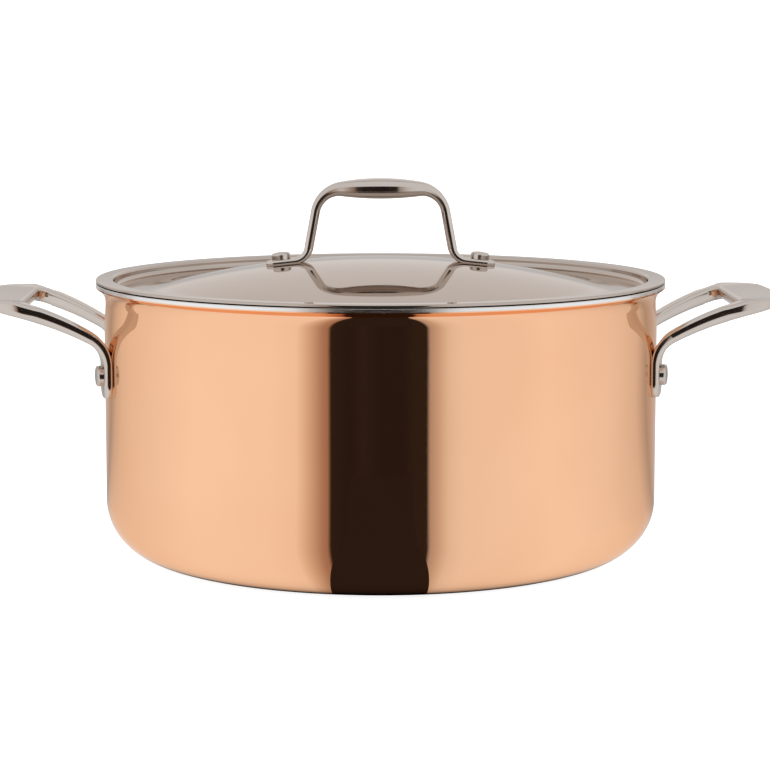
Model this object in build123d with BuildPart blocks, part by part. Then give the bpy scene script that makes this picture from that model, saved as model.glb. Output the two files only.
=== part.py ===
from build123d import *

import os
from math import acos, asin, atan2, cos, degrees, hypot, radians, sin, sqrt, tan

# A lidded, two-handled copper-clad pan. The body is three bonded plies with a flared pouring lip,
# the cast loop handles are riveted through the wall, and the spun lid carries a riveted arch handle.
# Millimetres, +Z up, origin in the middle of the underside of the base, handles along X.

# Pan body
inside_diameter = 280.0
pan_height = 142.2
copper_thickness = 0.5
aluminium_thickness = 1.5
steel_thickness = 0.5
base_corner_radius = 29.0  # outside radius between the base and the wall
neck_radius = 74.0  # the wall draws in on this radius just under the lip
neck_angle = 7.3
lip_lead_radius = 11.5  # the flare starts on this radius
lip_lead_angle = 35.0
lip_turn_radius = 2.4  # and turns level on this one
lip_land = 0.7  # level ring that the lid rests on
lip_edge_radius = 0.35

# Lid shell
lid_sheet = 1.0
lid_wall_clearance = 1.0  # between the lid's step and the neck of the pan
lid_step_depth = 5.1  # from the rim's top down to the shoulder
lid_rim_bend_radius = 1.6
lid_shoulder_bend_radius = 2.5
dome_radius = 480.0
dome_rise = 9.1  # crown of the dome above the rim's top
dome_foot_radius = 60.0  # hollow curve between the dome and the shoulder
lid_edge_radius = 0.35

# Side handles
handle_arm_spacing = 84.0  # between the middles of a handle's two arms
foot_below_rivet = 11.3
foot_above_rivet = 5.7
foot_width = 13.0
foot_thickness = 4.3
foot_end_width = 6.6
foot_end_thickness = 2.7
bend_radius = 16.0
bend_angle = 60.0
arm_width = 9.6
arm_root_thickness = 4.4
arm_sweep_radius = 150.0
arm_end_slope = 18.5
pad_root_thickness = 7.2
pad_tip_thickness = 3.8
pad_length = 29.0  # from the arms' ends to the middle of the outer edge
pad_crest_run = 6.4  # how far past the arms' ends the pad's top turns level
pad_bow = 1.5
pad_corner_radius = 15.0
window_corner_radius = 4.5
top_edge_share = 0.18  # rounding of the handle's top edges, as a share of its thickness
under_edge_share = 0.42
seat_bite = 0.6  # handles are formed this far into their seats, then trimmed to fit them

# Side handle rivets
rivet_height = 96.3
rivet_shank_diameter = 6.0
rivet_head_diameter = 10.6
rivet_head_height = 4.2
inner_head_diameter = 12.0
inner_head_height = 1.8

# Lid handle
lid_grip_height = 36.6  # middle of the grip above the dome's crown
crown_sweep_radius = 172.0
crown_slope = 8.0
shoulder_radius = 10.5
leg_lean = 9.2  # the legs lean in by this angle from upright
ankle_radius = 8.0
grip_width = 18.0
grip_thickness = 9.6
leg_width = 8.2
leg_thickness = 4.7
tab_width = 11.4
tab_thickness = 2.4
tab_end_width = 5.4
tab_end_thickness = 1.8
tab_overhang = 8.0  # from the rivet's axis to the tab's end
lid_edge_share = 0.42  # rounding of the lid handle's section

# Lid handle rivets
lid_rivet_spacing = 102.0
lid_shank_diameter = 5.0
lid_head_diameter = 9.6
lid_head_height = 3.9
lid_inner_head_diameter = 9.6
lid_inner_head_height = 1.5

# Rivet heads: a short side, a rounded edge and a low crown, as shares of the head's height
head_side_share = 0.42
head_edge_share = 0.3
cut_overrun = 2.0


# Sizes worked out from the ones above
wall_thickness = copper_thickness + aluminium_thickness + steel_thickness
foot_bottom_height = rivet_height - foot_below_rivet
foot_top_height = rivet_height + foot_above_rivet
inner_radius = inside_diameter / 2
outer_radius = inner_radius + wall_thickness
corner_centre = outer_radius - base_corner_radius
lead_x = outer_radius - neck_radius + (neck_radius + lip_lead_radius) * cos(radians(neck_angle))
turn_x = lead_x - (lip_lead_radius - lip_turn_radius) * cos(radians(lip_lead_angle))
turn_z = pan_height - wall_thickness - lip_turn_radius
lead_z = turn_z - (lip_lead_radius - lip_turn_radius) * sin(radians(lip_lead_angle))
neck_z = lead_z - (neck_radius + lip_lead_radius) * sin(radians(neck_angle))
lip_radius = turn_x + lip_land
neck_inner_radius = lead_x - lip_lead_radius - wall_thickness

lid_top = pan_height + lid_sheet
shoulder_z = lid_top - lid_step_depth
lid_wall_radius = neck_inner_radius - lid_wall_clearance - lid_sheet
dome_crown = lid_top + dome_rise
dome_centre = dome_crown - dome_radius
dome_foot_z = shoulder_z + dome_foot_radius
dome_foot_x = sqrt((dome_radius + dome_foot_radius) ** 2 - (dome_foot_z - dome_centre) ** 2)

arm_offset = handle_arm_spacing / 2
foot_angle = degrees(asin(arm_offset / (outer_radius + foot_thickness / 2)))
lid_tilt = degrees(asin(lid_rivet_spacing / 2 / dome_radius))


# Pan body: each ply lies between two skins, which are parallel curves from the base to the lip
def pan_skin(depth):
    """The wall's line this deep under the copper face."""
    corner = CenterArc((corner_centre, base_corner_radius), base_corner_radius - depth, -90, 90)
    neck = CenterArc((outer_radius - neck_radius, neck_z), neck_radius - depth, 0, neck_angle)
    CenterArc((lead_x, lead_z), lip_lead_radius + depth, 180 - lip_lead_angle, lip_lead_angle + neck_angle)
    turn = CenterArc((turn_x, turn_z), lip_turn_radius + depth, 90, 90 - lip_lead_angle)
    Line((0, depth), corner @ 0)
    Line(corner @ 1, neck @ 0)
    Line(turn @ 0, (lip_radius, pan_height - wall_thickness + depth))


def ply_shell(first_depth, last_depth):
    """One ply of the wall, from the base to the lip."""
    with BuildSketch(Plane.XZ) as profile:
        with BuildLine():
            pan_skin(first_depth)
            pan_skin(last_depth)
            Line((0, first_depth), (0, last_depth))
            lip_underside = pan_height - wall_thickness
            Line((lip_radius, lip_underside + first_depth), (lip_radius, lip_underside + last_depth))
        make_face()
    revolve(profile.sketch, axis=Axis.Z)


def rim_edges():
    """The lower and the upper edge of the outermost upright face."""
    rim = faces().filter_by(GeomType.CYLINDER).sort_by(lambda face: face.radius)[-1]
    return rim.edges().filter_by(GeomType.CIRCLE).sort_by(Axis.Z)


def side_seat(side, end, reach):
    """A plane square to the wall at one rivet, this far from the pan's axis.
    side is 1 for the right handle and -1 for the left; end is 1 at the back and -1 at the front."""
    angle = radians(foot_angle)
    outward = Vector(side * cos(angle), end * sin(angle), 0)
    return Plane(origin=outward * reach + Vector(0, 0, rivet_height), x_dir=(0, 0, 1), z_dir=outward)


handle_ends = [(side, end) for side in (-1, 1) for end in (-1, 1)]


def drill_wall(ends):
    """Rivet holes through the wall and through whatever stands on it."""
    for side, end in ends:
        with BuildSketch(side_seat(side, end, outer_radius)) as hole:
            Circle(rivet_shank_diameter / 2)
        extrude(hole.sketch, amount=wall_thickness + foot_thickness + cut_overrun, both=True,
                mode=Mode.SUBTRACT)


with BuildPart() as copper_outer_ply:
    ply_shell(0, copper_thickness)
    drill_wall(handle_ends)
copper_outer_ply.part.label = "copper_outer_ply"

with BuildPart() as aluminium_core_ply:
    ply_shell(copper_thickness, copper_thickness + aluminium_thickness)
    drill_wall(handle_ends)
aluminium_core_ply.part.label = "aluminium_core_ply"

with BuildPart() as steel_inner_ply:
    ply_shell(copper_thickness + aluminium_thickness, wall_thickness)
    fillet(rim_edges()[-1], lip_edge_radius)
    drill_wall(handle_ends)
steel_inner_ply.part.label = "steel_inner_ply"


# Side handles: half a handle is a run of lofts along the loop, from the foot up the arm and round
# the corner of the window, the other half mirrors it, and one more loft across the pad joins them.
def section(plane, corners, radii):
    """A four-cornered section with each corner rounded on its own radius."""
    with BuildSketch(plane) as cut:
        with BuildLine():
            FilletPolyline(*corners, radius=radii, close=True)
        make_face()
    return cut.sketch


def arm_section(middle, tangent, across, width, thickness):
    """A section of the arm or foot: its top is the face that looks at the wall in the foot."""
    top_radius = thickness * top_edge_share
    under_radius = thickness * under_edge_share
    x, y = width / 2, thickness / 2
    return section(Plane(origin=middle, x_dir=across, z_dir=tangent),
            [(-x, -y), (x, -y), (x, y), (-x, y)],
            [under_radius, under_radius, top_radius, top_radius])


def between(start, end, share):
    """The value this share of the way from start to end."""
    return start + (end - start) * share


def loft_runs(*runs):
    """Loft each run of sections; each run starts at the section where the one before it ends."""
    last = []
    for run in runs:
        loft(last + run)
        last = run[-1:]


def foot_section(height, width, thickness):
    """A level section of the foot, square to the wall and standing a little inside it."""
    angle = radians(foot_angle)
    reach = outer_radius + (thickness - seat_bite) / 2
    middle = Vector(reach * cos(angle), reach * sin(angle), height)
    return arm_section(middle, (0, 0, 1), (-sin(angle), cos(angle), 0), width, thickness + seat_bite)


foot_end_shares = [(0.0, 0.0), (0.09, 0.5), (0.22, 0.82), (0.42, 1.0), (1.0, 1.0)]
bend_shares = [0.0, 0.25, 0.5, 0.75, 1.0]
sweep_shares = [0.25, 0.5, 0.75]
corner_shares = [1 / 3, 2 / 3, 1.0]
pad_shares = [1.0, 0.5, 0.0, -0.5, -1.0]

foot_x = (outer_radius + foot_thickness / 2) * cos(radians(foot_angle))
bend_end = Vector(foot_x + bend_radius * (1 - cos(radians(bend_angle))), arm_offset,
                  foot_top_height + bend_radius * sin(radians(bend_angle)))


def sweep_point(turn):
    """Middle of the arm where it has turned this far from upright."""
    return bend_end + Vector(arm_sweep_radius * (cos(radians(bend_angle)) - cos(radians(turn))), 0,
                             arm_sweep_radius * (sin(radians(turn)) - sin(radians(bend_angle))))


arm_end_turn = 90 - arm_end_slope
arm_end = sweep_point(arm_end_turn)
slope_tangent = tan(radians(arm_end_slope))
crest_x = arm_end.X + pad_crest_run
pad_top = arm_end.Z + pad_root_thickness / 2 + pad_crest_run * slope_tangent
pad_end_x = arm_end.X + pad_length
window_corner_y = arm_offset - arm_width / 2 - window_corner_radius
pad_side_y = arm_offset + arm_width / 2


def pad_section(inner, outer, tangent):
    """An upright section of the pad from a point of the window's edge to a point of the outline."""
    across = (outer - inner).normalized()
    span = (outer - inner).length
    corners = []
    for reach, point in ((0, inner), (span, outer)):
        fall = max(crest_x - point.X, 0) * slope_tangent
        beyond = max(point.X - crest_x, 0) / (pad_end_x - crest_x)
        depth = between(pad_root_thickness, pad_tip_thickness, beyond)
        corners.append((reach, pad_top - fall, depth))
    (x0, top0, depth0), (x1, top1, depth1) = corners
    points = [(x0, top0 - depth0), (x1, top1 - depth1), (x1, top1), (x0, top0)]
    radii = [depth0 * under_edge_share, depth1 * under_edge_share,
             depth1 * top_edge_share, depth0 * top_edge_share]
    return section(Plane(origin=(inner.X, inner.Y, 0), x_dir=across, z_dir=tangent), points, radii)


def outline_point(start, direction):
    """Where a ray from inside the pad meets its rounded outline."""
    corner = Vector(pad_end_x - pad_corner_radius, pad_side_y - pad_corner_radius)
    along = (corner - start).dot(direction)
    off = (corner - start).length
    hit = start + direction * (along + sqrt(pad_corner_radius ** 2 - off ** 2 + along ** 2))
    if hit.X < corner.X:
        hit = start + direction * ((pad_side_y - start.Y) / direction.Y)
    if hit.Y < corner.Y:
        hit = start + direction * ((pad_end_x - start.X) / direction.X)
    return hit


def foot_sections():
    """The foot, from its rounded end up to where it leaves the wall."""
    sections = []
    foot_height = foot_top_height - foot_bottom_height
    for height_share, growth_share in foot_end_shares:
        width = between(foot_end_width, foot_width, growth_share)
        thickness = between(foot_end_thickness, foot_thickness, growth_share)
        sections.append(foot_section(foot_bottom_height + foot_height * height_share, width, thickness))
    return sections


def bend_sections():
    """The bend out of the foot, which also turns the arm square to the pad."""
    sections = []
    for share in bend_shares:
        turn = radians(bend_angle * share)
        tangent = Vector(sin(turn), 0, cos(turn))
        across = Vector(0, 1, 0).rotate(Axis((0, 0, 0), tangent), foot_angle * (1 - share))
        bite = seat_bite * (1 - share)
        middle = Vector(foot_x + bend_radius * (1 - cos(turn)), arm_offset,
                        foot_top_height + bend_radius * sin(turn))
        middle += tangent.cross(across) * bite / 2
        width = between(foot_width, arm_width, share)
        thickness = between(foot_thickness, arm_root_thickness, share)
        sections.append(arm_section(middle, tangent, across, width, thickness + bite))
    return sections


def sweep_sections():
    """The long gentle sweep of the arm up to the pad."""
    sections = []
    for share in sweep_shares:
        turn = between(bend_angle, arm_end_turn, share)
        tangent = Vector(sin(radians(turn)), 0, cos(radians(turn)))
        thickness = between(arm_root_thickness, pad_root_thickness, share)
        sections.append(arm_section(sweep_point(turn), tangent, Vector(0, 1, 0), arm_width, thickness))
    return sections + [corner_section(0)]


def corner_section(angle):
    """A section of the pad along a ray from the centre of the window's corner."""
    centre = Vector(arm_end.X, window_corner_y)
    across = Vector(sin(radians(angle)), cos(radians(angle)))
    inner = centre + across * window_corner_radius
    return pad_section(inner, outline_point(centre, across), (across.Y, -across.X, 0))


def pad_middle_sections():
    """Across the middle of the pad, from one window corner to the other."""
    sections = []
    edge_x = outline_point(Vector(arm_end.X, window_corner_y), Vector(1, 0)).X
    for share in pad_shares:
        y = window_corner_y * share
        inner = Vector(arm_end.X + window_corner_radius, y)
        outer = Vector(edge_x + pad_bow * (1 - share ** 2), y)
        sections.append(pad_section(inner, outer, (0, -1, 0)))
    return sections


# The pad's rounded outer corner starts where this ray from the window's corner meets its side
round_start = degrees(atan2(pad_end_x - pad_corner_radius - arm_end.X, pad_side_y - window_corner_y))

with BuildPart() as right_side_handle:
    foot = foot_sections()
    loft_runs(foot[:-1],
              foot[-1:],
              bend_sections()[1:],
              sweep_sections(),
              [corner_section(round_start * share) for share in corner_shares],
              [corner_section(between(round_start, 90, share)) for share in corner_shares])
    mirror(about=Plane.XZ)
    loft(pad_middle_sections())
    with BuildSketch(Plane.XY.offset(foot_bottom_height - cut_overrun)):
        Circle(outer_radius)
    extrude(amount=neck_z - foot_bottom_height + cut_overrun, mode=Mode.SUBTRACT)
    drill_wall([(1, -1), (1, 1)])
right_side_handle.part.label = "right_side_handle"

with BuildPart() as left_side_handle:
    mirror(right_side_handle.part, about=Plane.YZ)
left_side_handle.part.label = "left_side_handle"


# Rivets: a button head outside, a shank through the joint and a low head trimmed to the inside face
def button_head(seat, radius, height):
    """A round head on a plane, with a short side, a rounded edge and a low crown."""
    side = height * head_side_share
    edge = height * head_edge_share
    rise = height - side
    crown = ((radius - edge) ** 2 + rise ** 2 - edge ** 2) / (2 * (rise - edge))
    crown_low = height - crown
    meet = degrees(atan2(side - crown_low, radius - edge))
    profile_plane = Plane(origin=seat.origin, x_dir=seat.x_dir, z_dir=seat.x_dir.cross(seat.z_dir))
    with BuildSketch(profile_plane) as profile:
        with BuildLine():
            Polyline((0, height), (0, 0), (radius, 0), (radius, side))
            CenterArc((radius - edge, side), edge, 0, meet)
            CenterArc((0, crown_low), crown, meet, 90 - meet)
        make_face()
    revolve(profile.sketch, axis=Axis(seat.origin, seat.z_dir))


def post(seat, radius, length):
    """A round post standing on a plane, or reaching back from it where its length is negative."""
    with BuildSketch(seat) as ring:
        Circle(radius)
    extrude(ring.sketch, amount=length)


def side_rivet(side, end):
    """A side handle's rivet: the inner head is cut back to the liner's round face."""
    inside = side_seat(side, end, inner_radius)
    inward = Plane(origin=inside.origin, x_dir=inside.x_dir, z_dir=-inside.z_dir)
    button_head(inward, inner_head_diameter / 2, inner_head_height)
    post(inward, inner_head_diameter / 2, -wall_thickness)
    with BuildSketch(Plane.XY) as bore:
        Circle(inner_radius)
    extrude(bore.sketch, amount=pan_height, mode=Mode.INTERSECT)
    seat = side_seat(side, end, outer_radius + foot_thickness)
    post(seat, rivet_shank_diameter / 2, -(foot_thickness + wall_thickness + inner_head_height / 2))
    button_head(seat, rivet_head_diameter / 2, rivet_head_height)


side_rivet_names = {(-1, -1): "left_front_rivet", (-1, 1): "left_back_rivet",
                    (1, -1): "right_front_rivet", (1, 1): "right_back_rivet"}
side_rivets = []
for (side, end), rivet_name in side_rivet_names.items():
    with BuildPart() as rivet:
        side_rivet(side, end)
    rivet.part.label = rivet_name
    side_rivets.append(rivet)


# Lid shell: two parallel skins from the crown of the dome to the rim
def lid_skin(depth):
    """The lid's line this deep under its polished face."""
    lean = degrees(acos(dome_foot_x / (dome_radius + dome_foot_radius)))
    wall_foot = lid_wall_radius - lid_shoulder_bend_radius
    rim_start = lid_wall_radius + lid_rim_bend_radius
    CenterArc((0, dome_centre), dome_radius - depth, lean, 90 - lean)
    foot = CenterArc((dome_foot_x, dome_foot_z), dome_foot_radius + depth, 180 + lean, 90 - lean)
    shoulder = CenterArc((wall_foot, shoulder_z + lid_shoulder_bend_radius),
                         lid_shoulder_bend_radius + depth, -90, 90)
    rim = CenterArc((rim_start, lid_top - lid_rim_bend_radius), lid_rim_bend_radius - depth, 90, 90)
    Line(foot @ 1, shoulder @ 0)
    Line(shoulder @ 1, rim @ 1)
    Line(rim @ 0, (lip_radius, lid_top - depth))


def lid_seat(side, reach):
    """A plane square to the dome at one rivet of the lid handle, this far from the dome's centre."""
    tilt = radians(lid_tilt)
    up = Vector(side * sin(tilt), 0, cos(tilt))
    return Plane(origin=Vector(0, 0, dome_centre) + up * reach, x_dir=(0, 1, 0), z_dir=up)


def drill_lid(sides):
    """Rivet holes through the dome and through whatever stands on it."""
    for side in sides:
        with BuildSketch(lid_seat(side, dome_radius)) as hole:
            Circle(lid_shank_diameter / 2)
        extrude(hole.sketch, amount=lid_sheet + tab_thickness + cut_overrun, both=True,
                mode=Mode.SUBTRACT)


with BuildPart() as lid_shell:
    with BuildSketch(Plane.XZ):
        with BuildLine():
            lid_skin(0)
            lid_skin(lid_sheet)
            Line((0, dome_crown), (0, dome_crown - lid_sheet))
            Line((lip_radius, lid_top), (lip_radius, lid_top - lid_sheet))
        make_face()
    revolve(axis=Axis.Z)
    fillet(rim_edges(), lid_edge_radius)
    drill_lid([-1, 1])
lid_shell.part.label = "lid_shell"


# Lid handle: half of the arch is one loft from the tab's end to the middle of the grip
def strap_section(middle, tangent, width, thickness):
    """A section of the lid handle with all its corners rounded alike."""
    corner = thickness * lid_edge_share
    with BuildSketch(Plane(origin=middle, x_dir=(0, 1, 0), z_dir=tangent)) as cut:
        RectangleRounded(width, thickness, corner)
    return cut.sketch


def direction(slope):
    """Unit vector in the plane of the arch, at this angle above +X."""
    return Vector(cos(radians(slope)), 0, sin(radians(slope)))


def swollen_section(middle, slope, growth):
    """A section that has grown this share of the way from the leg's size to the grip's."""
    width = between(leg_width, grip_width, growth)
    thickness = between(leg_thickness, grip_thickness, growth)
    return strap_section(middle, direction(slope), width, thickness)


tab_end_shares = [(0.0, 0.0), (0.14, 0.55), (0.36, 0.87), (0.7, 1.0)]
ankle_shares = [0.0, 0.25, 0.5, 0.75, 1.0]
shoulder_shares = [0.0, 0.25, 0.5, 0.75, 1.0]
grip_shares = [(-1.0, 0.0), (-0.65, 0.45), (-0.32, 0.86), (0.0, 1.0), (0.32, 0.86), (0.65, 0.45), (1.0, 0.0)]
shoulder_growth_share = 0.12  # how much of the grip's swelling lies in the bend at its end

leg_slope = 90 - leg_lean
grip_middle = Vector(0, 0, dome_crown + lid_grip_height)
crown_end = grip_middle - Vector(crown_sweep_radius * sin(radians(crown_slope)), 0,
                                 crown_sweep_radius * (1 - cos(radians(crown_slope))))
shoulder_centre = crown_end + direction(crown_slope - 90) * shoulder_radius
leg_top = shoulder_centre + direction(leg_slope + 90) * shoulder_radius
tab_up = direction(90 + lid_tilt)
tab_middle = Vector(0, 0, dome_centre) + tab_up * (dome_radius + tab_thickness / 2)
ankle_drop = (direction(leg_slope - 90) - direction(lid_tilt - 90)) * ankle_radius
leg_length = (leg_top - ankle_drop - tab_middle).dot(tab_up) / direction(leg_slope).dot(tab_up)
ankle_top = leg_top - direction(leg_slope) * leg_length
ankle_centre = ankle_top + direction(leg_slope + 90) * ankle_radius
ankle_foot = ankle_centre + direction(lid_tilt - 90) * ankle_radius


def tab_sections():
    """From the tab's rounded end to the ankle, a little below the dome's face."""
    sections = []
    start = tab_middle - direction(lid_tilt) * tab_overhang
    for place_share, growth_share in tab_end_shares:
        width = between(tab_end_width, tab_width, growth_share)
        thickness = between(tab_end_thickness, tab_thickness, growth_share)
        drop = (tab_thickness - thickness + seat_bite) / 2
        middle = start + direction(lid_tilt) * tab_overhang * place_share - tab_up * drop
        sections.append(strap_section(middle, direction(lid_tilt), width, thickness + seat_bite))
    return sections


def ankle_sections():
    """The bend from the tab up into the leg."""
    sections = []
    for share in ankle_shares:
        slope = between(lid_tilt, leg_slope, share)
        bite = seat_bite * (1 - share)
        middle = ankle_centre + direction(slope - 90) * (ankle_radius + bite / 2)
        width = between(tab_width, leg_width, share)
        thickness = between(tab_thickness, leg_thickness, share)
        sections.append(strap_section(middle, direction(slope), width, thickness + bite))
    return sections


def shoulder_sections():
    """The bend from the leg over into the grip."""
    sections = []
    for share in shoulder_shares:
        slope = between(leg_slope, crown_slope, share)
        middle = shoulder_centre + direction(slope + 90) * shoulder_radius
        sections.append(swollen_section(middle, slope, shoulder_growth_share * share ** 2))
    return sections


def grip_sections():
    """The grip from end to end, which swells like a spindle."""
    sections = []
    for place_share, growth_share in grip_shares:
        slope = -crown_slope * place_share
        middle = grip_middle - Vector(crown_sweep_radius * sin(radians(slope)), 0,
                                      crown_sweep_radius * (1 - cos(radians(slope))))
        sections.append(swollen_section(middle, slope, between(shoulder_growth_share, 1, growth_share)))
    return sections


with BuildPart() as lid_handle:
    ankle = ankle_sections()
    shoulder = shoulder_sections()
    loft_runs(tab_sections(), ankle[:1], ankle[1:], shoulder[:1], shoulder[1:])
    mirror(about=Plane.YZ)
    loft(grip_sections())
    with Locations((0, 0, dome_centre)):
        Sphere(dome_radius, rotation=(0, 0, 90), mode=Mode.SUBTRACT)
    drill_lid([-1, 1])
lid_handle.part.label = "lid_handle"


def lid_rivet(side):
    """A lid handle's rivet: the inner head is cut back to the dome's underside."""
    inside = lid_seat(side, dome_radius - lid_sheet)
    inward = Plane(origin=inside.origin, x_dir=inside.x_dir, z_dir=-inside.z_dir)
    button_head(inward, lid_inner_head_diameter / 2, lid_inner_head_height)
    post(inward, lid_inner_head_diameter / 2, -lid_sheet)
    with Locations((0, 0, dome_centre)):
        Sphere(dome_radius - lid_sheet, rotation=(0, 0, 90), mode=Mode.INTERSECT)
    seat = lid_seat(side, dome_radius + tab_thickness)
    post(seat, lid_shank_diameter / 2, -(tab_thickness + lid_sheet + lid_inner_head_height / 2))
    button_head(seat, lid_head_diameter / 2, lid_head_height)


lid_rivet_names = {-1: "lid_left_rivet", 1: "lid_right_rivet"}
lid_rivets = []
for side, rivet_name in lid_rivet_names.items():
    with BuildPart() as rivet:
        lid_rivet(side)
    rivet.part.label = rivet_name
    lid_rivets.append(rivet)


os.makedirs("parts", exist_ok=True)
pieces = [copper_outer_ply, aluminium_core_ply, steel_inner_ply, right_side_handle, left_side_handle,
          *side_rivets, lid_shell, lid_handle, *lid_rivets]
for piece in pieces:
    export_step(piece.part, f"parts/{piece.part.label}.step")
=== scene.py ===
import math

import bpy
from mathutils import Matrix, Vector


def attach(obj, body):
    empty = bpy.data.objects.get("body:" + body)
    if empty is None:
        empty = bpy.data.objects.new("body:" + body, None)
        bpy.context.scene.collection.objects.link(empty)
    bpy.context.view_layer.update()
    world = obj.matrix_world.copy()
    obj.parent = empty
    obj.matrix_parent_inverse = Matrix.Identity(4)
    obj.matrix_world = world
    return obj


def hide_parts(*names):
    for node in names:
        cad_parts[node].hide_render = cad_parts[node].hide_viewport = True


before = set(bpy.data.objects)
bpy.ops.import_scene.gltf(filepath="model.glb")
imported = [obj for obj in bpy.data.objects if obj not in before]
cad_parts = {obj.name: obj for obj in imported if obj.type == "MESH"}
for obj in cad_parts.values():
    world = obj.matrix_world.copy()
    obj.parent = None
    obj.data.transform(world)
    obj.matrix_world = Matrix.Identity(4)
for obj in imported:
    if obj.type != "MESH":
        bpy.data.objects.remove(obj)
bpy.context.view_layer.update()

# General values
MM = 0.001
right_angle = math.pi / 2
sharp_angle = math.radians(40.0)
axis_reach = 1e-6

# The pan's sizes in millimetres, named as the solids' are; some of them are finer than the solids'
inner_radius = 140.0
copper_thickness = 0.5
aluminium_thickness = 1.2
wall_thickness = 2.5
outer_radius = inner_radius + wall_thickness
pan_height = 141.2
base_corner_radius = 29.0
neck_radius = 74.0
neck_angle = math.radians(5.5)
flare_radius = 8.0
flare_angle = math.radians(60.0)
flare_run = 1.2
lip_land = 0.94
lip_edge_share = 0.6
base_ring_shares = [0.3, 0.6, 0.9]
wall_ring_shares = [0.25, 0.5, 0.75]

lid_sheet = 1.0
lid_wall_clearance = 1.0
lid_step_depth = 5.1
lid_rim_bend_radius = 1.6
lid_shoulder_bend_radius = 2.5
dome_radius = 480.0
dome_rise = 9.1
dome_foot_radius = 60.0
lid_hem_width = 3.0
lid_hem_thickness = 1.6
lid_rim_lift = 0.4
lid_hem_share = 0.48

handle_foot_spacing = 74.0
arm_splay = math.radians(9.5)
foot_below_rivet = 11.3
foot_above_rivet = 5.7
foot_width = 14.0
foot_thickness = 3.5
foot_end_width = 6.6
foot_end_thickness = 2.7
foot_rounding = 0.42
foot_shares = [0.0, 0.004, 0.012, 0.025, 0.045, 0.07, 0.1, 0.14, 0.19, 0.25, 0.33, 0.42, 1.0]
bend_radius = 16.0
bend_angle = math.radians(60.0)
arm_width = 9.6
arm_root_thickness = 6.1
arm_sweep_radius = 150.0
arm_end_slope = math.radians(18.5)
pad_root_thickness = 8.2
pad_tip_thickness = 3.4
pad_length = 29.0
pad_crest_run = 9.5
pad_bow = 1.5
pad_corner_radius = 20.0
window_corner_radius = 4.5
top_edge_share = 0.28
under_edge_share = 0.5
seat_bite = 0.6

rivet_height = 96.3
rivet_shank_diameter = 6.0
rivet_head_diameter = 10.6
rivet_head_height = 3.5
inner_head_diameter = 12.0
inner_head_height = 1.8

lid_grip_height = 36.25
crown_sweep_radius = 800.0
crown_slope = math.radians(1.43)
shoulder_radius = 14.2
leg_lean = math.radians(10.4)
ankle_radius = 8.0
grip_width = 18.0
grip_thickness = 10.3
leg_width = 8.2
leg_thickness = 4.7
tab_width = 11.4
tab_thickness = 2.4
tab_end_width = 5.4
tab_end_thickness = 1.8
tab_overhang = 8.0
tab_rounding = 0.55
tab_shares = [0.0, 0.006, 0.02, 0.045, 0.08, 0.13, 0.19, 0.27, 0.36, 0.45, 0.55, 1.0]
lid_edge_share = 0.42
shoulder_growth = 0.5

lid_rivet_spacing = 102.0
lid_shank_diameter = 5.0
lid_head_diameter = 9.6
lid_head_height = 3.9
lid_inner_head_diameter = 9.6
lid_inner_head_height = 1.5
head_side_share = 0.56
head_edge_share = 0.34

# How many pieces each turned ring and each arc is divided into
WALL_TURNS = 288
RIVET_TURNS = 64
BACKDROP_TURNS = 96
BASE_STEPS = 30
NECK_STEPS = 8
FLARE_STEPS = 20
LIP_EDGE_STEPS = 5
DOME_STEPS = 40
DOME_FOOT_STEPS = 16
LID_SHOULDER_STEPS = 14
LID_RIM_STEPS = 12
HEM_STEPS = 7
HEAD_CROWN_STEPS = 12
HEAD_EDGE_STEPS = 8
SECTION_STEPS = 7
BEND_STEPS = 20
ARM_STEPS = 16
WINDOW_STEPS = 28
PAD_STEPS = 8
ANKLE_STEPS = 16
SHOULDER_STEPS = 20
GRIP_STEPS = 24
BACKDROP_STEPS = 10

# Worked out from the sizes above
waist_radius = outer_radius - 2 * neck_radius * (1 - math.cos(neck_angle))
flare_x = waist_radius + flare_radius
flare_end_x = flare_x - (flare_radius + wall_thickness) * math.cos(flare_angle)
lip_radius = flare_end_x + flare_run * math.sin(flare_angle) + lip_land
waist_z = (pan_height - (flare_radius + wall_thickness) * math.sin(flare_angle)
           - flare_run * math.cos(flare_angle))
neck_z = waist_z - 2 * neck_radius * math.sin(neck_angle)
lid_top = pan_height + lid_rim_lift + lid_hem_thickness
hem_corner = lid_hem_thickness * lid_hem_share
shoulder_z = lid_top - lid_step_depth
lid_wall_radius = waist_radius - wall_thickness - lid_wall_clearance - lid_sheet
dome_centre = lid_top + dome_rise - dome_radius
dome_foot_z = shoulder_z + dome_foot_radius
dome_foot_x = math.sqrt((dome_radius + dome_foot_radius) ** 2 - (dome_foot_z - dome_centre) ** 2)
foot_offset = handle_foot_spacing / 2
foot_angle = math.asin(foot_offset / (outer_radius + foot_thickness / 2))
lid_tilt = math.asin(lid_rivet_spacing / 2 / dome_radius)


# Mesh helpers
def share_of(start, end, share):
    return start + (end - start) * share


def steps(count):
    """0 to 1 in this many equal steps."""
    return [i / count for i in range(count + 1)]


def arc(centre, radius, start, span, count):
    """Points of an arc; angles are in radians from the first axis."""
    turns = [start + span * s for s in steps(count)]
    return [(centre[0] + radius * math.cos(turn), centre[1] + radius * math.sin(turn)) for turn in turns]


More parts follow.
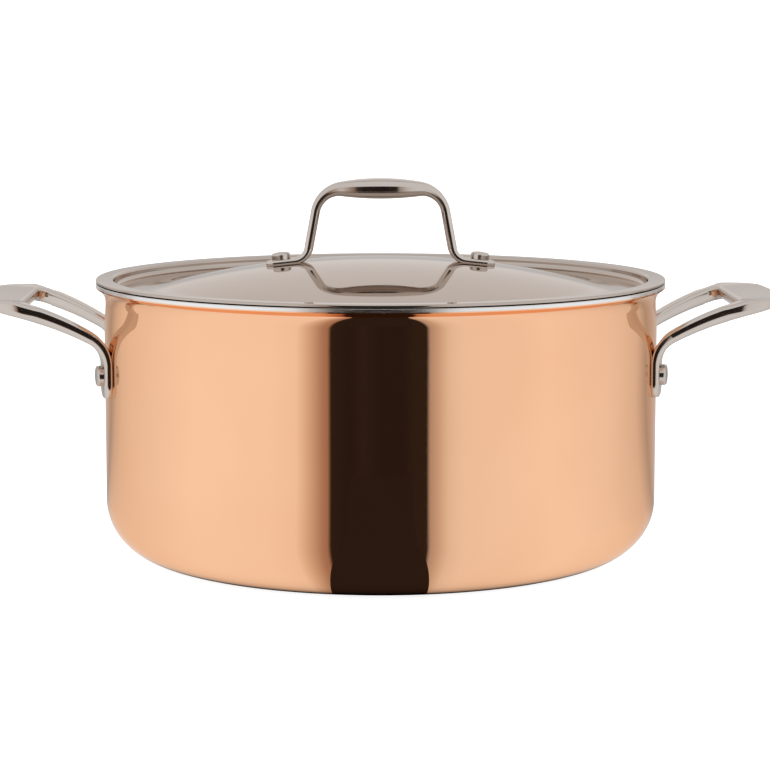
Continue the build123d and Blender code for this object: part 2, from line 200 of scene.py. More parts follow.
def lathe(profile, turns):
    """Vertices and faces of a profile turned about the Z axis; its ends lie on the axis."""
    vertices = []
    faces = []
    rings = []
    for r, z in profile:
        if r < axis_reach:
            rings.append([len(vertices)] * turns)
            vertices.append((0, 0, z))
            continue
        rings.append(list(range(len(vertices), len(vertices) + turns)))
        for k in range(turns):
            a = 2 * math.pi * k / turns
            vertices.append((r * math.cos(a), r * math.sin(a), z))
    for low, high in zip(rings, rings[1:]):
        for k in range(turns):
            n = (k + 1) % turns
            corners = [low[k], low[n], high[n], high[k]]
            face = [c for i, c in enumerate(corners) if c not in corners[:i]]
            faces.append(face)
    return vertices, faces


def placed(vertices, place):
    """The vertices moved by a matrix that takes Z to a rivet's axis."""
    return [tuple(place @ Vector(v)) for v in vertices]


def rounded(corners, radii, count):
    """A four-cornered outline with each corner rounded, as flat points."""
    points = []
    for i, corner in enumerate(corners):
        here = Vector(corner)
        back = (Vector(corners[i - 1]) - here).normalized()
        ahead = (Vector(corners[(i + 1) % len(corners)]) - here).normalized()
        half = back.angle(ahead) / 2
        middle = here + (back + ahead).normalized() * (radii[i] / math.sin(half))
        start = here + back * (radii[i] / math.tan(half)) - middle
        turn = math.pi - 2 * half
        for s in steps(count):
            points.append(middle + Matrix.Rotation(turn * s, 2) @ start)
    return points


def sweep(sections):
    """Vertices and faces of a tube through equal sections, closed at both ends."""
    count = len(sections[0])
    vertices = [tuple(p) for section in sections for p in section]
    faces = []
    for i in range(len(sections) - 1):
        a, b = i * count, (i + 1) * count
        for k in range(count):
            n = (k + 1) % count
            faces.append((a + k, a + n, b + n, b + k))
    faces.append(tuple(reversed(range(count))))
    faces.append(tuple(range(len(vertices) - count, len(vertices))))
    return vertices, faces


def mirrored(points, axis):
    """The points on the other side of the plane across this axis."""
    out = []
    for p in points:
        q = list(p)
        q[axis] = -q[axis]
        out.append(tuple(q))
    return out


def flipped(faces):
    return [tuple(reversed(face)) for face in faces]


# Lathe profiles
def pan_skin(depth):
    """The wall's line this deep under the copper face, from the middle of the base to the lip."""
    corner_x = outer_radius - base_corner_radius
    points = [(0, depth)]
    points += [(corner_x * s, depth) for s in base_ring_shares]
    points += arc((corner_x, base_corner_radius), base_corner_radius - depth, -right_angle, right_angle,
                  BASE_STEPS)
    points += [(outer_radius - depth, share_of(base_corner_radius, neck_z, s)) for s in wall_ring_shares]
    points += arc((outer_radius - neck_radius, neck_z), neck_radius - depth, 0, neck_angle, NECK_STEPS)
    points += arc((waist_radius + neck_radius, waist_z), neck_radius + depth, math.pi + neck_angle,
                  -neck_angle, NECK_STEPS)[1:]
    points += arc((flare_x, waist_z), flare_radius + depth, math.pi, -flare_angle, FLARE_STEPS)[1:]
    r, z = points[-1]
    points.append((lip_radius, z + (lip_radius - r) / math.tan(flare_angle)))
    return points


def ply_profile(first, last):
    """A closed ply between two depths; the innermost one ends in the level land with an eased edge."""
    outside = pan_skin(first)
    inside = pan_skin(last)
    if last == wall_thickness:
        edge = (pan_height - outside[-1][1]) * lip_edge_share
        inside[-1] = (lip_radius - lip_land, pan_height)
        inside += arc((lip_radius - edge, pan_height - edge), edge, right_angle, -right_angle,
                      LIP_EDGE_STEPS)
    return outside + inside[::-1]


def lid_skin(depth):
    """The lid's line this deep under its polished face, from the crown to the rim."""
    lean = math.acos(dome_foot_x / (dome_radius + dome_foot_radius))
    wall_foot = lid_wall_radius - lid_shoulder_bend_radius
    rim_start = lid_wall_radius + lid_rim_bend_radius
    points = [(0, dome_centre + dome_radius - depth)]
    points += arc((0, dome_centre), dome_radius - depth, right_angle, lean - right_angle, DOME_STEPS)[1:]
    points += arc((dome_foot_x, dome_foot_z), dome_foot_radius + depth, math.pi + lean,
                  right_angle - lean, DOME_FOOT_STEPS)[1:]
    points += arc((wall_foot, shoulder_z + lid_shoulder_bend_radius), lid_shoulder_bend_radius + depth,
                  -right_angle, right_angle, LID_SHOULDER_STEPS)
    points += arc((rim_start, lid_top - lid_rim_bend_radius), lid_rim_bend_radius - depth, math.pi,
                  -right_angle, LID_RIM_STEPS)
    return points


def lid_profile():
    """The lid's whole section, with the hem that thickens its rim."""
    inner = lip_radius - lid_hem_width + hem_corner
    outer = lip_radius - hem_corner
    low = lid_top - lid_hem_thickness + hem_corner
    high = lid_top - hem_corner
    hem = arc((outer, high), hem_corner, right_angle, -right_angle, HEM_STEPS)
    hem += arc((outer, low), hem_corner, 0, -right_angle, HEM_STEPS)
    hem += arc((inner, low), hem_corner, -right_angle, -right_angle, HEM_STEPS)
    hem.append((lip_radius - lid_hem_width, lid_top - lid_sheet))
    return lid_skin(0) + hem + lid_skin(lid_sheet)[::-1]


def head_outline(radius, height):
    """A button head from its top in the middle down to its seat's edge."""
    side = height * head_side_share
    edge = height * head_edge_share
    rise = height - side
    crown = ((radius - edge) ** 2 + rise ** 2 - edge ** 2) / (2 * (rise - edge))
    low = height - crown
    meet = math.atan2(side - low, radius - edge)
    points = [(0, height)]
    points += arc((0, low), crown, right_angle, meet - right_angle, HEAD_CROWN_STEPS)[1:]
    points += arc((radius - edge, side), edge, meet, -meet, HEAD_EDGE_STEPS)[1:]
    points.append((radius, 0))
    return points


def rivet_profile(head_radius, head_height, shank_radius, grip, inner_head_radius, inner_height):
    """A whole rivet about its own axis, with the outer head's seat at 0."""
    inner = [(r, -grip - z) for r, z in reversed(head_outline(inner_head_radius, inner_height))]
    return head_outline(head_radius, head_height) + [(shank_radius, 0), (shank_radius, -grip)] + inner


# Side handles
foot_x = (outer_radius + foot_thickness / 2) * math.cos(foot_angle)
foot_bottom_height = rivet_height - foot_below_rivet
foot_top_height = rivet_height + foot_above_rivet
splay_heading = Vector((math.cos(arm_splay), math.sin(arm_splay), 0))
splay_across = Vector((-math.sin(arm_splay), math.cos(arm_splay), 0))
arm_end_turn = right_angle - arm_end_slope


def arm_tangent(turn):
    """The arm's direction where it has turned this far from upright."""
    return splay_heading * math.sin(turn) + Vector((0, 0, math.cos(turn)))


def bend_point(turn):
    """Middle of the bend where it has turned this far from upright."""
    foot_top = Vector((foot_x, foot_offset, foot_top_height))
    return (foot_top + splay_heading * bend_radius * (1 - math.cos(turn))
            + Vector((0, 0, bend_radius * math.sin(turn))))


def sweep_point(turn):
    """Middle of the arm where it has turned this far from upright."""
    reach = arm_sweep_radius * (math.cos(bend_angle) - math.cos(turn))
    rise = arm_sweep_radius * (math.sin(turn) - math.sin(bend_angle))
    return bend_point(bend_angle) + splay_heading * reach + Vector((0, 0, rise))


arm_end = sweep_point(arm_end_turn)
slope_tangent = math.tan(arm_end_slope)
crest_x = arm_end.x + pad_crest_run
pad_top = arm_end.z + pad_root_thickness / 2 + pad_crest_run * slope_tangent
pad_end_x = arm_end.x + pad_length
arm_side = Vector((arm_end.x, arm_end.y, 0)) + splay_across * arm_width / 2
window_corner = arm_side - splay_across * (arm_width + window_corner_radius)
round_x = pad_end_x - pad_corner_radius
round_drop = pad_corner_radius - (round_x - arm_side.x) * math.sin(arm_splay)
round_centre = Vector((round_x, arm_side.y - round_drop / math.cos(arm_splay), 0))


def flat_to_space(points, origin, across, up):
    """Flat points set out in space along two directions."""
    return [tuple(origin + across * p.x + up * p.y) for p in points]


def arm_section(middle, tangent, across, width, thickness):
    """A section with a full round under it and crisper edges on top."""
    x, y = width / 2, thickness / 2
    top, under = thickness * top_edge_share, thickness * under_edge_share
    outline = rounded([(-x, -y), (x, -y), (x, y), (-x, y)], [under, under, top, top], SECTION_STEPS)
    return flat_to_space(outline, middle, across, tangent.cross(across))


def pad_section(inner, outer):
    """An upright section from the window to the outer edge, thinner beyond the crest."""
    across = (outer - inner).normalized()
    span = (outer - inner).length
    ends = []
    for reach, point in ((0, inner), (span, outer)):
        fall = max(crest_x - point.x, 0) * slope_tangent
        beyond = max(point.x - crest_x, 0) / (pad_end_x - crest_x)
        ends.append((reach, pad_top - fall, share_of(pad_root_thickness, pad_tip_thickness, beyond)))
    (x0, top0, depth0), (x1, top1, depth1) = ends
    outline = rounded([(x0, top0 - depth0), (x1, top1 - depth1), (x1, top1), (x0, top0)],
                      [depth0 * under_edge_share, depth1 * under_edge_share,
                       depth1 * top_edge_share, depth0 * top_edge_share], SECTION_STEPS)
    return flat_to_space(outline, Vector((inner.x, inner.y, 0)), across, Vector((0, 0, 1)))


def outline_point(direction):
    """Where a ray from the window corner's centre meets the pad's outline."""
    to_round = round_centre - window_corner
    along = to_round.dot(direction)
    hit = direction * (along + math.sqrt(pad_corner_radius ** 2 - to_round.length_squared + along ** 2))
    if (hit - to_round).dot(splay_heading) < 0:
        hit = direction * ((arm_width + window_corner_radius) / direction.dot(splay_across))
    if hit.y < to_round.y:
        hit = direction * ((pad_end_x - window_corner.x) / direction.x)
    return window_corner + hit


def end_growth(s, rounding):
    """How far a rounded end has grown to its full size, at this share of its length."""
    return math.sqrt(1 - (1 - min(s / rounding, 1)) ** 2)


def foot_sections():
    """The foot on the wall, from its rounded end up."""
    sections = []
    outward = Vector((math.cos(foot_angle), math.sin(foot_angle), 0))
    along_wall = Vector((-math.sin(foot_angle), math.cos(foot_angle), 0))
    for s in foot_shares:
        grown = end_growth(s, foot_rounding)
        width = share_of(foot_end_width, foot_width, grown)
        thickness = share_of(foot_end_thickness, foot_thickness, grown)
        middle = outward * (outer_radius + (thickness - seat_bite) / 2)
        middle.z = share_of(foot_bottom_height, foot_top_height, s)
        sections.append(arm_section(middle, Vector((0, 0, 1)), along_wall, width, thickness + seat_bite))
    return sections


def bend_sections():
    """The bend from the foot into the arm, which also turns to the arm's splay."""
    sections = []
    for s in steps(BEND_STEPS)[1:]:
        turn = bend_angle * s
        tangent = arm_tangent(turn)
        across = Matrix.Rotation((foot_angle - arm_splay) * (1 - s), 3, tangent) @ splay_across
        bite = seat_bite * (1 - s)
        middle = bend_point(turn) + tangent.cross(across) * bite / 2
        sections.append(arm_section(middle, tangent, across, share_of(foot_width, arm_width, s),
                                    share_of(foot_thickness, arm_root_thickness, s) + bite))
    return sections


def arm_sections():
    """The arm, which thickens as it sweeps outwards."""
    sections = []
    for s in steps(ARM_STEPS)[1:-1]:
        turn = share_of(bend_angle, arm_end_turn, s)
        sections.append(arm_section(sweep_point(turn), arm_tangent(turn), splay_across, arm_width,
                                    share_of(arm_root_thickness, pad_root_thickness, s)))
    return sections


def corner_sections():
    """The pad's corner, in a fan round the window's corner."""
    sections = []
    for s in steps(WINDOW_STEPS):
        turn = share_of(-arm_splay, right_angle, s)
        across = Vector((math.sin(turn), math.cos(turn), 0))
        sections.append(pad_section(window_corner + across * window_corner_radius, outline_point(across)))
    return sections


def pad_sections():
    """The pad from its corner to its middle, with a bowed outer edge."""
    sections = []
    window_x = window_corner.x + window_corner_radius
    edge_x = outline_point(Vector((1, 0, 0))).x
    for s in steps(PAD_STEPS)[1:]:
        y = window_corner.y * (1 - s)
        bow = pad_bow * (1 - (1 - s) ** 2)
        sections.append(pad_section(Vector((window_x, y, 0)), Vector((edge_x + bow, y, 0))))
    return sections


def side_handle_sections():
    """Half a handle, from the foot's rounded end to the middle of the pad."""
    return foot_sections() + bend_sections() + arm_sections() + corner_sections() + pad_sections()


# Lid handle
def heading(slope):
    """Unit vector in the plane of the arch, at this angle above +X."""
    return Vector((math.cos(slope), 0, math.sin(slope)))


leg_slope = right_angle - leg_lean
grip_middle = Vector((0, 0, dome_centre + dome_radius + lid_grip_height))


def crown_point(slope):
    """Middle of the grip where it still slopes this much."""
    return grip_middle - Vector((crown_sweep_radius * math.sin(slope), 0,
                                 crown_sweep_radius * (1 - math.cos(slope))))


shoulder_centre = crown_point(crown_slope) + heading(crown_slope - right_angle) * shoulder_radius
leg_top = shoulder_centre + heading(leg_slope + right_angle) * shoulder_radius
tab_up = heading(right_angle + lid_tilt)
tab_middle = Vector((0, 0, dome_centre)) + tab_up * (dome_radius + tab_thickness / 2)
ankle_drop = (heading(leg_slope - right_angle) - heading(lid_tilt - right_angle)) * ankle_radius
leg_length = (leg_top - ankle_drop - tab_middle).dot(tab_up) / heading(leg_slope).dot(tab_up)
ankle_top = leg_top - heading(leg_slope) * leg_length
ankle_centre = ankle_top + heading(leg_slope + right_angle) * ankle_radius


def strap_section(middle, slope, width, thickness):
    """A section of the arch, square to its slope, with all four edges rounded alike."""
    x, y = width / 2, thickness / 2
    corner = thickness * lid_edge_share
    outline = rounded([(-x, -y), (x, -y), (x, y), (-x, y)], [corner] * 4, SECTION_STEPS)
    return flat_to_space(outline, middle, Vector((0, 1, 0)), heading(slope + right_angle))


def swollen_section(middle, slope, growth):
    """A section part of the way from the leg's size to the grip's."""
    return strap_section(middle, slope, share_of(leg_width, grip_width, growth),
                         share_of(leg_thickness, grip_thickness, growth))


def tab_sections():
    """The left tab on the crown, from its rounded end up."""
    sections = []
    along = heading(lid_tilt)
    start = tab_middle - along * tab_overhang
    for s in tab_shares:
        grown = end_growth(s, tab_rounding)
        thickness = share_of(tab_end_thickness, tab_thickness, grown)
        sink = (tab_thickness - thickness + seat_bite) / 2
        middle = start + along * tab_overhang * s - tab_up * sink
        sections.append(strap_section(middle, lid_tilt, share_of(tab_end_width, tab_width, grown),
                                      thickness + seat_bite))
    return sections


def ankle_sections():
    """The bend from the tab up into the leg."""
    sections = []
    for s in steps(ANKLE_STEPS):
        slope = share_of(lid_tilt, leg_slope, s)
        bite = seat_bite * (1 - s)
        middle = ankle_centre + heading(slope - right_angle) * (ankle_radius + bite / 2)
        sections.append(strap_section(middle, slope, share_of(tab_width, leg_width, s),
                                      share_of(tab_thickness, leg_thickness, s) + bite))
    return sections


def shoulder_sections():
    """The bend from the leg into the grip, where the swelling begins."""
    sections = []
    for s in steps(SHOULDER_STEPS):
        slope = share_of(leg_slope, crown_slope, s)
        middle = shoulder_centre + heading(slope + right_angle) * shoulder_radius
        sections.append(swollen_section(middle, slope, shoulder_growth * s ** 2))
    return sections


def grip_sections():
    """The grip from the shoulder to its thick middle."""
    sections = []
    for s in steps(GRIP_STEPS)[1:]:
        slope = crown_slope * (1 - s)
        growth = share_of(shoulder_growth, 1, 1 - (1 - s) ** 2)
        sections.append(swollen_section(crown_point(slope), slope, growth))
    return sections


def lid_handle_sections():
    """Half the arch, from the left tab's rounded end to the middle of the grip."""
    return tab_sections() + ankle_sections() + shoulder_sections() + grip_sections()


# Materials
white = (1, 1, 1)
black = (0, 0, 0)
noise_low = 0.3
noise_high = 0.7
drift_scale = 14
drift_detail = 3
grain_detail = 4
grain_strength = 0.2
steel_edge_tint = (0.93, 0.87, 0.83)
matt_roughness = 0.9


def new_material(name):
    material = bpy.data.materials.new(name)
    material.use_nodes = True
    tree = material.node_tree
    shader = tree.nodes["Principled BSDF"]
    return material, tree, shader


def noise(tree, scale, detail, stretch=(1, 1, 1)):
    """A noise in the piece's own coordinates, in metres."""
    place = tree.nodes.new("ShaderNodeTexCoord")
    mapping = tree.nodes.new("ShaderNodeMapping")
    mapping.inputs["Scale"].default_value = stretch
    texture = tree.nodes.new("ShaderNodeTexNoise")
    texture.inputs["Scale"].default_value = scale
    texture.inputs["Detail"].default_value = detail
    tree.links.new(place.outputs["Object"], mapping.inputs["Vector"])
    tree.links.new(mapping.outputs["Vector"], texture.inputs["Vector"])
    return texture.outputs["Fac"]


def spread(tree, source, low, high):
    """The noise spread over a range of plain values."""
    node = tree.nodes.new("ShaderNodeMapRange")
    node.inputs["From Min"].default_value = noise_low
    node.inputs["From Max"].default_value = noise_high
    node.inputs["To Min"].default_value = low
    node.inputs["To Max"].default_value = high
    tree.links.new(source, node.inputs["Value"])
    return node.outputs["Result"]


def ramp(tree, source, stops):
    """Plain grey or colour stops along a value from 0 to 1."""
    node = tree.nodes.new("ShaderNodeValToRGB")
    elements = node.color_ramp.elements
    for i, (position, colour) in enumerate(stops):
        element = elements[i] if i < 2 else elements.new(position)
        element.position = position
        element.color = (*colour, 1) if isinstance(colour, tuple) else (colour, colour, colour, 1)
    tree.links.new(source, node.inputs["Fac"])
    return node.outputs["Color"]


def tint(tree, source, dark, light):
    """The noise as a colour between two close shades."""
    return ramp(tree, source, [(noise_low, dark), (noise_high, light)])


def bump(tree, shader, source, strength, distance):
    node = tree.nodes.new("ShaderNodeBump")
    node.inputs["Strength"].default_value = strength
    node.inputs["Distance"].default_value = distance
    tree.links.new(source, node.inputs["Height"])
    tree.links.new(node.outputs["Normal"], shader.inputs["Normal"])


def metal(name, dark, light, roughness, grain_scale, stretch, grain_depth, edge_tint=white):
    """Polished metal: its shade and its gloss drift a little, over a fine grain."""
    material, tree, shader = new_material(name)
    shader.inputs["Metallic"].default_value = 1.0
    shader.inputs["Specular Tint"].default_value = (*edge_tint, 1)
    drift = noise(tree, drift_scale, drift_detail)
    grain = noise(tree, grain_scale, grain_detail, stretch)
    tree.links.new(tint(tree, drift, dark, light), shader.inputs["Base Color"])
    tree.links.new(spread(tree, grain, *roughness), shader.inputs["Roughness"])
    bump(tree, shader, grain, grain_strength, grain_depth)
    return material


def polished_copper():
    """Mirror-bright, with the faintest level polishing lines."""
    return metal("polished copper", dark=(0.90, 0.515, 0.315), light=(0.935, 0.555, 0.345),
                 roughness=(0.02, 0.05), grain_scale=220, stretch=(0.15, 0.15, 1.6),
                 grain_depth=0.000004, edge_tint=(0.96, 0.80, 0.68))


def aluminium_edge():
    """The core, seen only as a line at the lip."""
    return metal("aluminium edge", dark=(0.78, 0.78, 0.79), light=(0.84, 0.84, 0.85),
                 roughness=(0.18, 0.3), grain_scale=500, stretch=(0.3, 0.3, 2), grain_depth=0.00001)


def brushed_liner():
    """The inside, brushed round and round."""
    return metal("brushed liner", dark=(0.62, 0.59, 0.565), light=(0.70, 0.67, 0.645),
                 roughness=(0.16, 0.26), grain_scale=500, stretch=(0.12, 0.12, 2.5),
                 grain_depth=0.00001)


def cast_steel():
    """The handles: polished by hand, so their grain has no direction."""
    return metal("polished cast steel", dark=(0.54, 0.485, 0.445), light=(0.62, 0.56, 0.515),
                 roughness=(0.07, 0.13), grain_scale=420, stretch=(1, 1, 1), grain_depth=0.00001,
                 edge_tint=steel_edge_tint)


def rivet_steel():
    """A little duller and darker than the handles."""
    return metal("rivet steel", dark=(0.50, 0.455, 0.42), light=(0.58, 0.53, 0.49),
                 roughness=(0.1, 0.2), grain_scale=700, stretch=(1, 1, 1), grain_depth=0.00001,
                 edge_tint=steel_edge_tint)


def lid_steel():
    """The lid's mirror finish."""
    return metal("mirror lid steel", dark=(0.495, 0.43, 0.385), light=(0.525, 0.455, 0.41),
                 roughness=(0.03, 0.06), grain_scale=300, stretch=(0.3, 0.3, 1),
                 grain_depth=0.000003, edge_tint=steel_edge_tint)


# Pieces
materials = {
    "copper": polished_copper(),
    "core": aluminium_edge(),
    "liner": brushed_liner(),
    "cast_steel": cast_steel(),
    "rivet_steel": rivet_steel(),
    "lid_steel": lid_steel(),
}


def make_piece(name, node, slot_name, body, vertices, faces):
    """A smooth-shaded piece that stands for one CAD node and rides on its body."""
    mesh = bpy.data.meshes.new(name)
    mesh.from_pydata([tuple(c * MM for c in v) for v in vertices], [], faces)
    mesh.validate()
    obj = bpy.data.objects.new(name, mesh)
    bpy.context.scene.collection.objects.link(obj)
    mesh.materials.append(materials[slot_name])
    mesh.shade_smooth()
    mesh.set_sharp_from_angle(angle=sharp_angle)
    weighted = obj.modifiers.new("weighted normals", "WEIGHTED_NORMAL")
    weighted.keep_sharp = True
    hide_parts(node)
    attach(obj, body)


def lathe_piece(name, node, slot_name, body, profile):
    vertices, faces = lathe(profile, WALL_TURNS)
    make_piece(name, node, slot_name, body, vertices, faces)


def build_shells():
    liner_depth = copper_thickness + aluminium_thickness
    copper = ply_profile(0, copper_thickness)
    core = ply_profile(copper_thickness, liner_depth)
    liner = ply_profile(liner_depth, wall_thickness)
    lathe_piece("copper_wall", "copper_outer_ply", "copper", "pan", copper)
    lathe_piece("aluminium_wall", "aluminium_core_ply", "core", "pan", core)
    lathe_piece("steel_wall", "steel_inner_ply", "liner", "pan", liner)
    lathe_piece("lid_dome", "lid_shell", "lid_steel", "lid", lid_profile()[::-1])


def build_side_handles():
    half = side_handle_sections()
    loop = half + [mirrored(section, 1) for section in reversed(half[:-1])]
    vertices, faces = sweep(loop)
    make_piece("right_loop", "right_side_handle", "cast_steel", "pan", vertices, faces)
    make_piece("left_loop", "left_side_handle", "cast_steel", "pan", mirrored(vertices, 0), flipped(faces))


def build_lid_handle():
    half = lid_handle_sections()
    arch = half + [mirrored(section, 0) for section in reversed(half[:-1])]
    vertices, faces = sweep(arch)
    make_piece("lid_arch", "lid_handle", "cast_steel", "lid", vertices, faces)


def rivet_piece(place_name, body, profile, seat, outward):
    """A rivet whose outer head sits at this point and looks this way."""
    place = Matrix.Translation(seat) @ outward.to_track_quat("Z", "Y").to_matrix().to_4x4()
    vertices, faces = lathe(profile, RIVET_TURNS)
    make_piece(place_name + "_stud", place_name + "_rivet", "rivet_steel", body, placed(vertices, place),
               flipped(faces))


def build_side_rivets():
    profile = rivet_profile(rivet_head_diameter / 2, rivet_head_height, rivet_shank_diameter / 2,
                            foot_thickness + wall_thickness, inner_head_diameter / 2, inner_head_height)
    for side, side_name in ((-1, "left"), (1, "right")):
        for end, end_name in ((-1, "front"), (1, "back")):
            outward = Vector((side * math.cos(foot_angle), end * math.sin(foot_angle), 0))
            seat = outward * (outer_radius + foot_thickness) + Vector((0, 0, rivet_height))
            rivet_piece(side_name + "_" + end_name, "pan", profile, seat, outward)


def build_lid_rivets():
    grip = tab_thickness + lid_sheet
    profile = rivet_profile(lid_head_diameter / 2, lid_head_height, lid_shank_diameter / 2, grip,
                            lid_inner_head_diameter / 2, lid_inner_head_height)
    for side, side_name in ((-1, "left"), (1, "right")):
        up = Vector((side * math.sin(lid_tilt), 0, math.cos(lid_tilt)))
        seat = Vector((0, 0, dome_centre)) + up * (dome_radius + tab_thickness)
        rivet_piece("lid_" + side_name, "lid", profile, seat, up)


build_shells()
build_side_handles()
build_lid_handle()
build_side_rivets()
build_lid_rivets()

# Studio, in metres: a pale floor and backdrop, and a light tent that only the metal mirrors
floor_radius = 3.0
backdrop_bend = 1.0
backdrop_height = 4.0
backdrop_top = 4.5
paint_shade = (0.4, 0.4, 0.4)
paint_glow = 0.9
daylight_shade = (0.93, 0.93, 0.93)

camera_turn = math.radians(1.2)
camera_pitch = 0.133
camera_distance = 1.323
camera_height = 0.2633
sensor_width = 36.0
focal_length = 119.93
picture_width = 770
picture_shift = 4.4

tent_front = -0.50
tent_back = 0.50
tent_side = 0.55
tent_top = 0.90
tent_floor_skin = 0.001
view_centre = -0.073
rear_start = 0.1
rear_end = 0.3
rear_dusk_height = 0.20
rear_dusk_blur = 0.02
rear_shade = (0.86, 0.86, 0.86)
slit_height = 0.32
slit_blur = 0.03
slit_top_shade = (0.92, 0.92, 0.92)
slit_floor_share = 0.19
slit_floor_shade = (0.026, 0.019, 0.016)
slit_offset = 0.0005
slit_dark = (0.022, 0.016, 0.014)
slit_soft = (0.03, 0.022, 0.018)

# The tent's brightness all round, by degrees from the camera: greys, and warm tones beside the slit
tent_shades = [
    (-180, 0.60), (-150, 0.60), (-141, 0.46), (-134.4, 0.69), (-127.5, 0.81), (-119, 0.87),
    (-101, 0.93), (-80, 1.0), (-45, 1.0), (-33.8, (0.96, 0.95, 0.94)), (-27.4, (0.66, 0.57, 0.50)),
    (-23.1, (0.43, 0.31, 0.26)), (-20.9, (0.38, 0.26, 0.20)), (-20.3, slit_soft), (-12, slit_dark),
    (-7, slit_soft), (0, slit_dark), (9, slit_dark), (13, slit_soft), (19.1, slit_soft),
    (19.7, (0.47, 0.43, 0.41)), (22.8, (0.63, 0.56, 0.49)), (27.1, 0.82), (33.5, 0.92), (51.4, 0.95),
    (70, 1.0), (101, 0.92), (123, 0.77), (135, 0.47), (147, 0.61), (180, 0.60)]

# Painted contact shadow: how much the tent's floor darkens, by its distance from the pan's axis
base_shadow_stops = [(0.1215, 0.97), (0.1232, 0.78), (0.1245, 0.42), (0.1265, 0.15), (0.131, 0.04), (0.137, 0)]


def glow_material(name, paint, light, glow):
    """Matt paint that also gives off a light of its own."""
    material, tree, shader = new_material(name)
    shader.inputs["Base Color"].default_value = (*paint, 1)
    shader.inputs["Roughness"].default_value = matt_roughness
    shader.inputs["Specular IOR Level"].default_value = 0.0
    shader.inputs["Emission Color"].default_value = (*light, 1)
    shader.inputs["Emission Strength"].default_value = glow
    return material, tree, shader


def stage_mesh(name, vertices, faces, material):
    mesh = bpy.data.meshes.new(name)
    mesh.from_pydata(vertices, [], faces)
    mesh.materials.append(material)
    obj = bpy.data.objects.new(name, mesh)
    bpy.context.scene.collection.objects.link(obj)
    obj.visible_shadow = False
    return obj


def build_backdrop():
    """A round pale floor that runs up into a high backdrop all round, lit by plain daylight."""
    rings = [(0, 0), (floor_radius, 0)]
    for s in steps(BACKDROP_STEPS)[1:]:
        turn = right_angle * s
        rings.append((floor_radius + backdrop_bend * math.sin(turn), backdrop_bend * (1 - math.cos(turn))))
    rings += [(floor_radius + backdrop_bend, backdrop_height), (0, backdrop_top)]
    vertices, faces = lathe(rings, BACKDROP_TURNS)
    paint = glow_material("pale sweep", paint_shade, white, paint_glow)[0]
    sweep_wall = stage_mesh("studio_sweep", vertices, faces, paint)
    sweep_wall.data.shade_smooth()
    sweep_wall.visible_glossy = False


def build_daylight():
    """An even pale sky, which the metal doesn't mirror."""
    world = bpy.data.worlds.new("daylight")
    world.use_nodes = True
    world.node_tree.nodes["Background"].inputs["Color"].default_value = (*daylight_shade, 1)
    world.cycles_visibility.glossy = False
    bpy.context.scene.world = world


def math_node(tree, operation, first, second=None, third=None):
    node = tree.nodes.new("ShaderNodeMath")
    node.operation = operation
    for i, value in enumerate((first, second, third)):
        if value is None:
            continue
        if isinstance(value, (int, float)):
            node.inputs[i].default_value = value
        else:
            tree.links.new(value, node.inputs[i])
    return node.outputs[0]


def eased(tree, source, low, high):
    """0 below low, 1 above high, with a smooth rise between them."""
    node = tree.nodes.new("ShaderNodeMapRange")
    node.interpolation_type = "SMOOTHSTEP"
    node.inputs["From Min"].default_value = low
    node.inputs["From Max"].default_value = high
    tree.links.new(source, node.inputs["Value"])
    return node.outputs["Result"]


def blend(tree, factor, first, second):
    """First where the factor is 0, second where it is 1."""
    node = tree.nodes.new("ShaderNodeMix")
    node.data_type = "RGBA"
    tree.links.new(factor, node.inputs["Factor"])
    first_colour, second_colour, mixed_colour = node.inputs[6], node.inputs[7], node.outputs[2]
    for value, socket in ((first, first_colour), (second, second_colour)):
        if isinstance(value, tuple):
            socket.default_value = (*value, 1)
        else:
            tree.links.new(value, socket)
    return mixed_colour


def tent_cloth():
    """White cloth with a dark slit towards the camera, dusky low down at the back, and with a painted
    contact shadow on its floor round the pan.
    """
    cloth, tree, shader = glow_material("tent cloth", black, white, 1.0)
    cloth.cycles.emission_sampling = "NONE"
    place = tree.nodes.new("ShaderNodeTexCoord")
    parts = tree.nodes.new("ShaderNodeSeparateXYZ")
    tree.links.new(place.outputs["Object"], parts.inputs["Vector"])
    x, y, z = parts.outputs
    ahead = math_node(tree, "MULTIPLY_ADD", y, -1.0, view_centre)
    bearing = math_node(tree, "ARCTAN2", x, ahead)
    turned = math_node(tree, "MULTIPLY_ADD", bearing, 0.5 / math.pi, 0.5)
    colour = ramp(tree, turned, [(0.5 + degrees / 360, shade) for degrees, shade in tent_shades])
    colour = blend(tree, high_rear(tree, y, z), colour, rear_shade)
    colour = blend(tree, above_slit(tree, y, z), colour, slit_top_shade)
    colour = blend(tree, floor_slit(tree, x, y, z), colour, slit_floor_shade)
    # painted contact shadow on the tent's floor round the pan, mirrored in the base's curved edge
    colour = blend(tree, painted_floor_shadow(tree, x, y, z), colour, black)
    tree.links.new(colour, shader.inputs["Emission Color"])
    return cloth


def high_rear(tree, y, z):
    """1 at the back of the tent above its low dusk."""
    raised = eased(tree, z, rear_dusk_height - rear_dusk_blur, rear_dusk_height + rear_dusk_blur)
    return math_node(tree, "MULTIPLY", raised, eased(tree, y, rear_start, rear_end))


def above_slit(tree, y, z):
    """1 on the front half of the tent above the slit."""
    raised = eased(tree, z, slit_height - slit_blur, slit_height + slit_blur)
    return math_node(tree, "MULTIPLY", raised, math_node(tree, "LESS_THAN", y, 0))


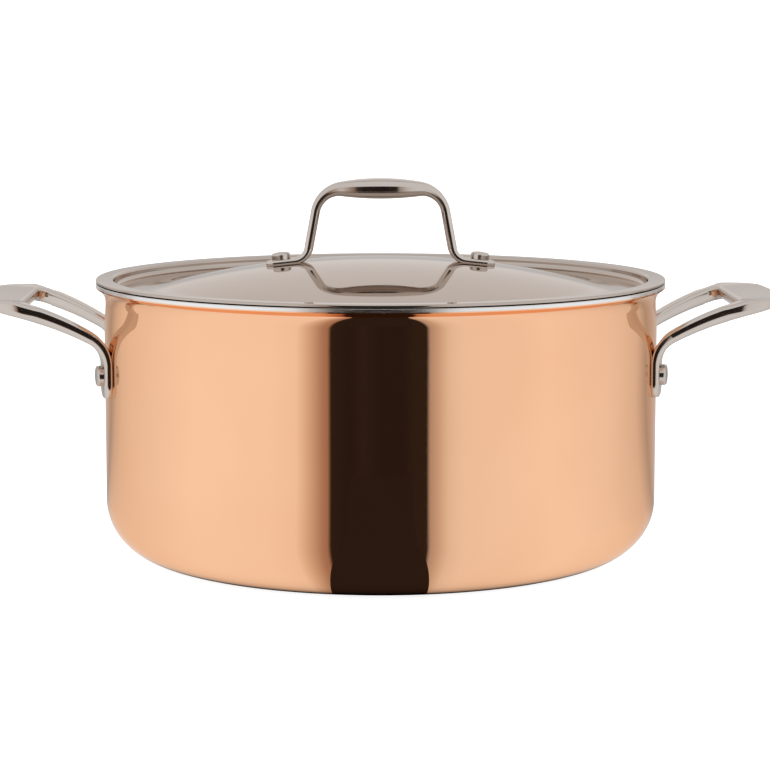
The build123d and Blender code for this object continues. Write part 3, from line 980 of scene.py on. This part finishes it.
def on_floor(tree, z):
    """1 on the tent's floor, 0 on its sides and top."""
    return math_node(tree, "LESS_THAN", z, tent_floor_skin)


def floor_slit(tree, x, y, z):
    """1 on a wedge of floor under the slit, so that its image in the base's curved edge keeps its width."""
    ahead = math_node(tree, "MULTIPLY", y, -1.0)
    aside = math_node(tree, "ABSOLUTE", math_node(tree, "ADD", x, slit_offset))
    half_width = math_node(tree, "MULTIPLY", ahead, slit_floor_share)
    inside = math_node(tree, "LESS_THAN", aside, half_width)
    return math_node(tree, "MULTIPLY", inside, on_floor(tree, z))


def painted_floor_shadow(tree, x, y, z):
    """Painted contact shadow: how much the floor darkens towards the pan, where the base's curved edge
    mirrors it.
    """
    y_squared = math_node(tree, "MULTIPLY", y, y)
    reach = math_node(tree, "SQRT", math_node(tree, "MULTIPLY_ADD", x, x, y_squared))
    return math_node(tree, "MULTIPLY", ramp(tree, reach, base_shadow_stops), on_floor(tree, z))


def build_tent():
    """A closed box of cloth round the pan, set square to the camera."""
    corners = [(-tent_side, tent_front), (tent_side, tent_front), (tent_side, tent_back),
               (-tent_side, tent_back)]
    vertices = [(x, y, z) for z in (0, tent_top) for x, y in corners]
    faces = [(0, 1, 2, 3), (7, 6, 5, 4)] + [(i, (i + 1) % 4, (i + 1) % 4 + 4, i + 4) for i in range(4)]
    tent = stage_mesh("light_tent", vertices, faces, tent_cloth())
    tent.rotation_euler.z = -camera_turn
    tent.visible_camera = False
    tent.visible_diffuse = False


def build_camera():
    """The photo's viewpoint: low, a little to the left of square on, through a long lens."""
    data = bpy.data.cameras.new("camera")
    data.sensor_width = sensor_width
    data.lens = focal_length
    data.shift_x = picture_shift / picture_width
    camera = bpy.data.objects.new("camera", data)
    camera.location = (-camera_distance * math.sin(camera_turn), -camera_distance * math.cos(camera_turn),
                       camera_height)
    camera.rotation_euler = (right_angle - camera_pitch, 0, -camera_turn)
    bpy.context.scene.collection.objects.link(camera)
    bpy.context.scene.camera = camera


build_backdrop()
build_daylight()
build_tent()
build_camera()
bpy.context.scene.view_settings.view_transform = "Standard"
